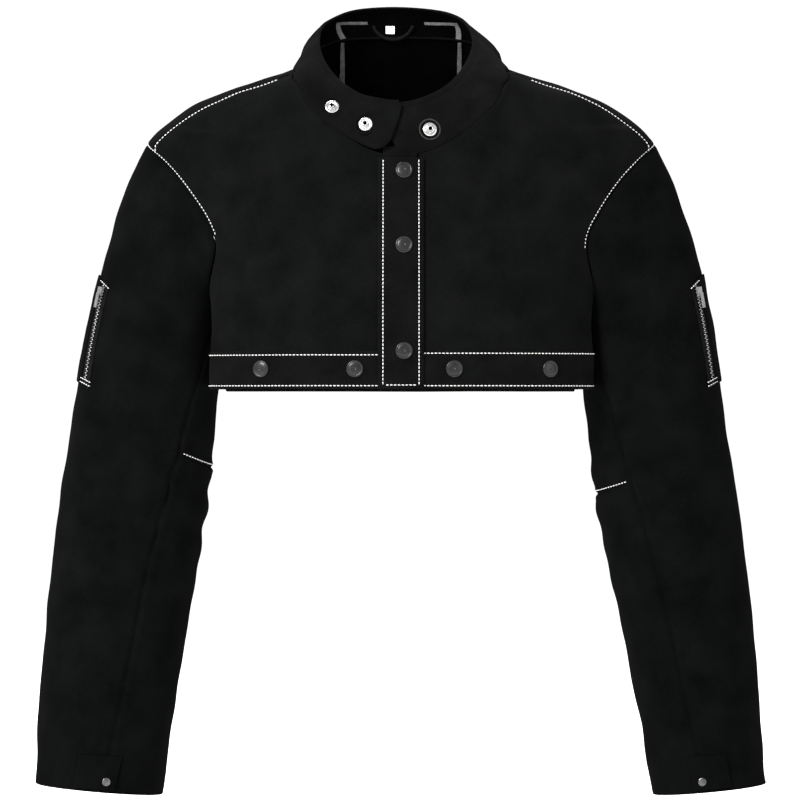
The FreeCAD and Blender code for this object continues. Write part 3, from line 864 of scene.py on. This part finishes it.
# ---- Collar ----
def collar_piece(name, first, last, cols, low=0.0, lift=0.2):
    """A length of the band collar; first and last may be functions of the height share."""

    def point(u, v, lift_now):
        a = first(v) if callable(first) else first
        b = last(v) if callable(last) else last
        seam = -0.9 * hump(v * 50, 2.0) - 0.5 * hump((1 - v) * 50 - 5.5, 1.2)
        return collar_point(lerp(a, b, u), v, lift_now + seam)

    heights = low + (1 - low) * merged(dense(20, 0.06), [0.87, 0.89, 0.91])
    piece = sheet(name, point, dense(cols, 0.03), heights, BAND, band_suede, lift)
    return piece


def build_collar():
    def left_start(v):
        return -4 + 9 * np.clip(1 - v / 0.35, 0, 1) ** 2

    left = with_collar(collar_piece("collar_left", left_start, COLLAR_BACK, 46), "left")
    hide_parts("collar_front_left", "collar_fold_left")
    right = with_collar(collar_piece("collar_right", TAB_PHI - 0.1, -COLLAR_BACK, 30), "right")
    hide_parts("collar_front_right", "collar_fold_right")
    back = collar_piece("collar_back", COLLAR_BACK, 360 - COLLAR_BACK, 50, low=-0.07)
    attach(back, "torso")
    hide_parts("collar_back")

    def tab_end(v):
        slant = -11 + 15 * v**0.8
        lower = 1 - np.sqrt(1 - np.clip(1 - v / 0.32, 0, 1) ** 2)
        return slant - 11 * lower - 3 * smooth((v - 0.9) / 0.1)

    def rising(u, v):
        phi = lerp(TAB_PHI, tab_end(v), u)
        return 0.2 + 4.4 * smooth((phi + 29) / 18)

    tab = with_tab(collar_piece("throat_tab", TAB_PHI, tab_end, 30, low=0.02, lift=rising))
    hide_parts("collar_tab", "collar_tab_fold")


def build_neck_tape():
    """Light tape inside the back of the collar: level, down to the neck, and over the seams."""
    top = NECK_TAPE_Z + NECK_TAPE_HALF

    def height_share(phi, z):
        low, high = collar(phi, 0.0)[..., 2], collar(phi, 1.0)[..., 2]
        return (z - low) / (high - low)

    for side, sign in SIDES.items():
        first, last, low_seam, high_seam = NECK_TAPE[side]

        def level(u, v, lift, a=first, b=last):
            phi = lerp(a, b, u)
            z = NECK_TAPE_Z + lerp(-NECK_TAPE_HALF, NECK_TAPE_HALF, v)
            return collar_point(phi, height_share(phi, z), lift)

        def upright(u, v, lift, low=low_seam, high=high_seam):
            phi = lerp(low, high, v) + lerp(-1.9, 1.9, u)
            return collar_point(phi, lerp(-0.08, height_share(phi, top), v), lift)

        def bound(u, v, lift, side_sign=sign):
            z = lerp(BACK_HEM_TOP + 2, 33, v)
            return body_point(side_sign * (seam_angle(z) + lerp(1.4, -1.4, u)), z, lift)

        tape = sheet(
            f"neck_tape_{side}", level, dense(30, 0.05), dense(5), TAPE, binding, -BAND - 0.2
        )
        rise = sheet(
            f"neck_binding_{side}", upright, dense(5), dense(16, 0.05), TAPE, binding, -BAND - 0.3
        )
        seam = sheet(
            f"seam_binding_{side}", bound, dense(5), dense(80), TAPE, binding, -LEATHER - 1.6
        )
        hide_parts(f"seam_tape_{side}")
        for piece in (tape, rise, seam):
            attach(piece, "torso")


def ring_marks():
    """Ring round each bare stud of the collar."""
    turns = np.linspace(0, 2 * math.pi, 48, endpoint=False)
    for side, (body_name, phi, rise, lift) in STUDS.items():
        centre, normal = collar_seat(phi, rise, 0.0)
        across, up = plane_of(normal)
        vertices = []
        for turn in turns:
            way = across * math.cos(turn) + up * math.sin(turn)
            for k in range(8):
                small = 2 * math.pi * k / 8
                radius = 10.2 + 0.8 * math.cos(small)
                height = lift - 0.2 + 0.6 * math.sin(small)
                vertices.append(centre + way * radius + normal * height)
        faces = grid_faces(len(turns), 8, closed_rows=True, closed_cols=True)
        # Only the ring round the left stud is lighter.
        material = light_ring if side == "left" else band_suede
        piece = new_object(f"stud_ring_{side}", np.array(vertices), faces, material)
        turn_out(piece)
        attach(piece, body_name)


# ---- Sleeves ----
def tube(side):
    """Surface of a sleeve by share of the way round, from the front seam, and by station."""

    def point(u, v, lift):
        first, second = spline(FRONT_SEAM, v)[0], spline(BACK_SEAM, v)[0]
        under, over = lerp(first, second, u / 0.4), lerp(second, first + 360, (u - 0.4) / 0.6)
        t = np.where(u < 0.4, under, over)
        relief = 0.0
        for seam in (first, second, first + 360):
            gap = np.abs(t - seam) * 1.1
            relief = relief - 1.7 * hump(gap, 1.9) + 0.5 * hump(gap - 5, 2.5)
        across = np.where(u < 0.4, np.abs(v - ELBOW_SEAM[side]) * 85, 99.0)
        fade = smooth(np.minimum(u, 0.4 - u) / 0.03)
        relief = relief + fade * (0.5 * hump(across - 5, 2.5) - 1.6 * hump(across, 1.9))
        return sleeve_point(side, t, v, lift + relief - hump(v * 55, 2.5))

    return point


def build_sleeves():
    inner = dense(26, 0.05) * 0.4
    outer = 0.4 + dense(44, 0.035) * 0.6
    around = merged(inner, outer)[:-1]
    # The sleeves take the darker suede, which is painted shade.
    look = (LEATHER, shaded_sleeve_suede, 0.3)
    for side in SIDES:
        rows = merged(np.linspace(0, 0.2, 7), np.arange(0.2, SPLIT, 0.05), [SPLIT])
        upper = sheet(f"sleeve_upper_{side}", tube(side), around, rows, *look, closed=True)
        with_shoulder(upper)
        sewn = (f"sleeve_upper_outer_{side}", f"sleeve_upper_inner_{side}")
        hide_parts(f"sleeve_head_{side}", *sewn)
        close = np.array([-0.06, -0.04, -0.025, -0.012, 0, 0.012, 0.025, 0.04, 0.06])
        rows = merged(np.arange(SPLIT, 7.99, 0.05), ELBOW_SEAM[side] + close, [7.96, 8.0])
        lower = sheet(f"sleeve_lower_{side}", tube(side), around, rows, *look, closed=True)
        with_elbow(lower)
        sewn = (f"forearm_outer_{side}", f"forearm_inner_{side}", f"cuff_facing_{side}")
        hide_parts(f"sleeve_elbow_{side}", *sewn)
        build_pocket(side)
        build_cuff(side)


def patch(side, first, last):
    """A patch of sleeve between two turn angles, which may follow the station."""

    def point(u, v, lift):
        a = first(v) if callable(first) else first
        b = last(v) if callable(last) else last
        return sleeve_point(side, lerp(a, b, u), v, lift)

    return point


TOOTH_FACES = (
    (0, 1, 3, 2), (4, 6, 7, 5), (0, 4, 5, 1), (2, 3, 7, 6), (0, 2, 6, 4), (1, 5, 7, 3),
)


def build_pocket(side):
    """A patch pocket, the cloth tape and teeth of its zip, and the rows sewn at its ends."""
    body_name = f"upper_sleeve_{side}"
    rows = lerp(*POCKET_ROWS, dense(26, 0.03))
    cover = patch(side, -58.0, 25.0)
    pocket = sheet(f"pocket_{side}", cover, dense(30, 0.03), rows, FACING, shaded_sleeve_suede, 2.3)
    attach(pocket, body_name)
    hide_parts(f"pocket_{side}")
    under = patch(side, 26.0, 38.0)
    tape = sheet(f"zip_tape_{side}", under, dense(10), rows, 0.8, tape_cloth, 1.3)
    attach(tape, body_name)
    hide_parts(f"pocket_zip_{side}")
    line, middle = patch(side, 31.5, 32.5), np.array([0.5])
    vertices, faces = [], []
    for k, station in enumerate(np.linspace(2.24, 3.34, 52)):
        sway = 0.75 if k % 2 else -0.75
        centre, out = path_on(line, middle, np.array([station]), 1.6)
        ahead = path_on(line, middle, np.array([station + 0.02]), 1.6)[0]
        way = unit(ahead - centre)[0]
        across = np.cross(out[0], way)
        start = len(vertices)
        for a in (-1, 1):
            for b in (-1, 1):
                for c in (-1, 1):
                    corner = centre[0] + across * (sway + 1.3 * a)
                    vertices.append(corner + way * 0.42 * b + out[0] * 0.55 * c)
        for quad in TOOTH_FACES:
            faces.append(tuple(start + i for i in quad))
    teeth = new_object(f"zip_teeth_{side}", np.array(vertices), faces, zip_metal)
    turn_out(teeth)
    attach(teeth, body_name)
    edge = []
    shares = np.linspace(0, 1, 20)
    for station in (2.215, 3.345, 3.385):
        edge.append(path_on(patch(side, 23.0, 40.5), shares, shares * 0 + station, 1.9))
    sewn = stitches(f"pocket_stitches_{side}", edge, radius=0.5)
    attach(sewn, body_name)


def build_cuff(side):
    def first(station):
        return spline(FRONT_SEAM, station)[0] - 24.4

    def last(station):
        return spline(FRONT_SEAM, station)[0] + 10

    rows = lerp(7.55, 7.97, dense(10, 0.12))
    cover = patch(side, first, last)
    tab = sheet(f"cuff_tab_{side}", cover, dense(14, 0.1), rows, 1.5, shaded_sleeve_suede, 2.5)
    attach(tab, f"cuff_tab_{side}")
    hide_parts(f"cuff_tab_{side}")


# ---- Stitching ----
def turn_path(angle0, angle1, z, lift, count):
    """A level row round the body, in even steps of angle."""
    angles = np.linspace(angle0, angle1, count)
    return path_on(body_point, angles, np.full(count, float(z)), lift)


def build_stitches():
    for side, sign in SIDES.items():
        heights = np.linspace(-12, -83, 80)
        angle = sign * (shoulder_seam(side, heights) - 2.2)
        shoulder = path_on(body_point, angle, heights, 0.1)
        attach(stitches(f"shoulder_stitches_{side}", [shoulder]), "torso")
        paths = []
        for low, high in ((8, 172), (190, 350)):
            turns = np.linspace(low, high, 320)
            if low < 180:
                turns = turns[armhole(turns)[1] > ARMHOLE_STITCH_END[side]]
            angle, heights = armhole(turns)
            angle = sign * (angle - np.where(turns < 180, 1.4, -1.4))
            paths.append(path_on(body_point, angle, heights, 0.0))
        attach(stitches(f"armhole_stitches_{side}", paths), "torso")
        edge = 21 if side == "left" else 22
        hem = []
        for z in (HEM_STITCH_TOP[side], HEM_EDGE + HEM_STITCH_UP):
            first, last = sign * body_angle(edge, z), sign * 88.8
            hem.append(turn_path(first, last, z, HEM_LIFT + 0.25, 240))
        with_front(stitches(f"hem_stitches_{side}", hem))
        seam = ELBOW_SEAM[side] - 0.045
        turns = np.linspace(spline(FRONT_SEAM, seam)[0] + 4, spline(BACK_SEAM, seam)[0] - 4, 120)
        elbow = path_on(patch(side, turns, turns), 0 * turns, 0 * turns + seam, 0.7)
        with_elbow(stitches(f"elbow_stitches_{side}", [elbow]))
    rows = [turn_path(91, 269, z, 0.9, 300) for z in (BACK_HEM_TOP - 3, BACK_HEM_EDGE + 4)]
    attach(stitches("back_hem_stitches", rows), "torso")
    foot = HEM_EDGE + PLACKET_STITCH_UP
    heights = np.linspace(foot, neck(0)[1] - 5, 200)
    lines = []
    for x in (-17.5, 17.5):
        lines.append(path_on(body_point, body_angle(np.full(200, x), heights), heights, 4.6))
    level = np.full(200, foot)
    across = body_angle(np.linspace(-15, 15, 200), level)
    lines.append(path_on(body_point, across, level, 4.8))
    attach(stitches("placket_stitches", lines), "front_left")
    for side, sign in SIDES.items():
        heights = np.linspace(BACK_HEM_TOP + 3, neck(BACK_SEAM_PHI)[1] - 3, 200)
        angle = sign * (seam_angle(heights) - 1.6)
        seam = path_on(body_point, angle, heights, 0.2)
        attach(stitches(f"back_seam_stitches_{side}", [seam]), "torso")


# ---- Snaps and small parts ----
def plane_of(normal):
    """Two directions across a normal."""
    side = unit(np.cross(normal, [0, 0, 1.0]))
    return side, np.cross(side, normal)


def collar_seat(phi, rise, lift):
    """A seat on the collar: its point, lift above the surface, and the normal there."""
    normal = normals(collar, np.array(phi), np.array(rise), 1.0, 0.02)
    return collar(phi, rise) + normal * lift, normal


def lathe(name, outline, seats, material):
    """Turned parts from an outline of (radius, height), one on each seat (point, normal)."""
    segments = 56
    vertices, faces = [], []
    for centre, normal in seats:
        side, up = plane_of(normal)
        start = len(vertices)
        for radius, height in outline:
            for k in range(segments):
                turn = 2 * math.pi * k / segments
                way = side * math.cos(turn) + up * math.sin(turn)
                vertices.append(centre + way * radius + normal * height)
        faces += grid_faces(len(outline), segments, closed_rows=True, closed_cols=True, start=start)
    piece = new_object(name, np.array(vertices), faces, material)
    turn_out(piece)
    return piece


def body_seat(x, z, lift):
    """A seat on the body: its point, lift above the surface, and the normal there."""
    angle = body_angle(x, z)
    normal = normals(body, angle, np.asarray(z), 0.8, 0.8)
    return body(angle, z) + normal * lift, normal


# Outlines of a black cap, domed with a groove, and of a bare stud with its hollow post.
CAP = [
    (0.02, 0), (7.9, 0), (8.4, 0.25), (8.5, 0.7), (8.3, 1.25), (7.8, 1.7), (7.2, 1.86),
    (6.75, 1.72), (6.45, 1.5), (6.1, 1.66), (5.2, 1.92), (3.6, 2.1), (1.8, 2.18), (0.02, 2.2),
]
STUD = [
    (1.9, 0), (6.9, 0), (7.0, 0.2), (6.8, 0.5), (6.1, 0.85), (5.6, 0.98), (5.0, 0.8),
    (4.2, 0.6), (3.1, 0.6), (3.0, 0.8), (2.75, 1.5), (2.9, 2.4), (3.0, 3.0), (2.95, 3.5),
    (2.7, 3.85), (2.4, 3.95), (2.1, 3.85), (1.95, 3.6), (1.9, 3.0),
]


def build_snaps():
    seats = [body_seat(PLACKET_SNAP_X, z, 4.9) for z in PLACKET_SNAPS]
    caps = lathe("placket_caps_seen", CAP, seats, enamel)
    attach(caps, "front_left")
    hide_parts("placket_caps")
    for side, sign in SIDES.items():
        seats = [body_seat(sign * x, HEM_SNAP_Z, 0.85) for x in HEM_SNAPS[side]]
        caps = lathe(f"hem_caps_seen_{side}", CAP, seats, enamel)
        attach(caps, f"front_{side}")
        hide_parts(f"hem_caps_{side}")
    for side, (body_name, phi, rise, lift) in STUDS.items():
        stud = lathe(f"stud_{side}", STUD, [collar_seat(phi, rise, lift)], nickel)
        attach(stud, body_name)
        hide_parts(f"collar_stud_{side}")


def paint(material, *nodes):
    """Gives CAD nodes that stay as they are a better material."""
    for node in nodes:
        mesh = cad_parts[node].data
        mesh.materials.clear()
        mesh.materials.append(material)


def build_small():
    paint(nickel, "placket_studs", "hem_sockets_left", "hem_sockets_right")
    paint(zip_metal, "zip_slider_left", "zip_slider_right")
    paint(dull_nickel, "cuff_cap_left", "cuff_cap_right")
    paint(cord, "hanger_loop")
    paint(label_cloth, "size_label")


# ---- Studio, in metres ----
FLOOR_Z = -0.735
LIGHTS_TARGET = (0, 0, -0.3)
CAMERA_DISTANCE = 5.0
HALF_VIEW = 0.400  # half the width that the camera sees at the jacket


def area_light(name, place, size, power):
    light = bpy.data.lights.new(name, "AREA")
    light.shape = "RECTANGLE"
    light.size, light.size_y = size
    light.energy = power
    lamp = bpy.data.objects.new(name, light)
    lamp.location = place
    aim = Vector(LIGHTS_TARGET) - Vector(place)
    lamp.rotation_euler = aim.to_track_quat("-Z", "Y").to_euler()
    bpy.context.scene.collection.objects.link(lamp)


def build_studio():
    scene = bpy.context.scene
    bpy.ops.mesh.primitive_plane_add(size=40, location=(0, 0, FLOOR_Z))
    floor = bpy.context.object
    floor.name = "floor"
    pale = bpy.data.materials.new("floor_pale")
    pale.use_nodes = True
    base = pale.node_tree.nodes["Principled BSDF"]
    put(base, {"Base Color": (0.98, 0.98, 0.98, 1), "Roughness": 0.9})
    floor.data.materials.append(pale)
    world = bpy.data.worlds.new("studio")
    world.use_nodes = True
    back = world.node_tree.nodes["Background"]
    put(back, {"Color": (1, 1, 1, 1), "Strength": 1.05})
    scene.world = world
    area_light("key", (-2.4, -2.8, 2.0), (1.4, 1.4), 330)
    area_light("fill", (2.6, -2.6, 0.6), (2.0, 2.0), 30)
    area_light("rim", (-0.4, 1.2, 2.2), (2.4, 0.8), 120)
    camera = bpy.data.cameras.new("camera")
    camera.sensor_fit = "HORIZONTAL"
    camera.angle = 2 * math.atan(HALF_VIEW / CAMERA_DISTANCE)
    camera.clip_end = 60
    view = bpy.data.objects.new("camera", camera)
    view.location = (-0.001, -CAMERA_DISTANCE, -0.330)
    view.rotation_euler = (math.radians(90), 0, 0)
    scene.collection.objects.link(view)
    scene.camera = view
    scene.view_settings.view_transform = "Standard"


build_body()
build_hem()
build_placket()
build_collar()
build_neck_tape()
ring_marks()
build_sleeves()
build_stitches()
build_snaps()
build_small()
build_studio()
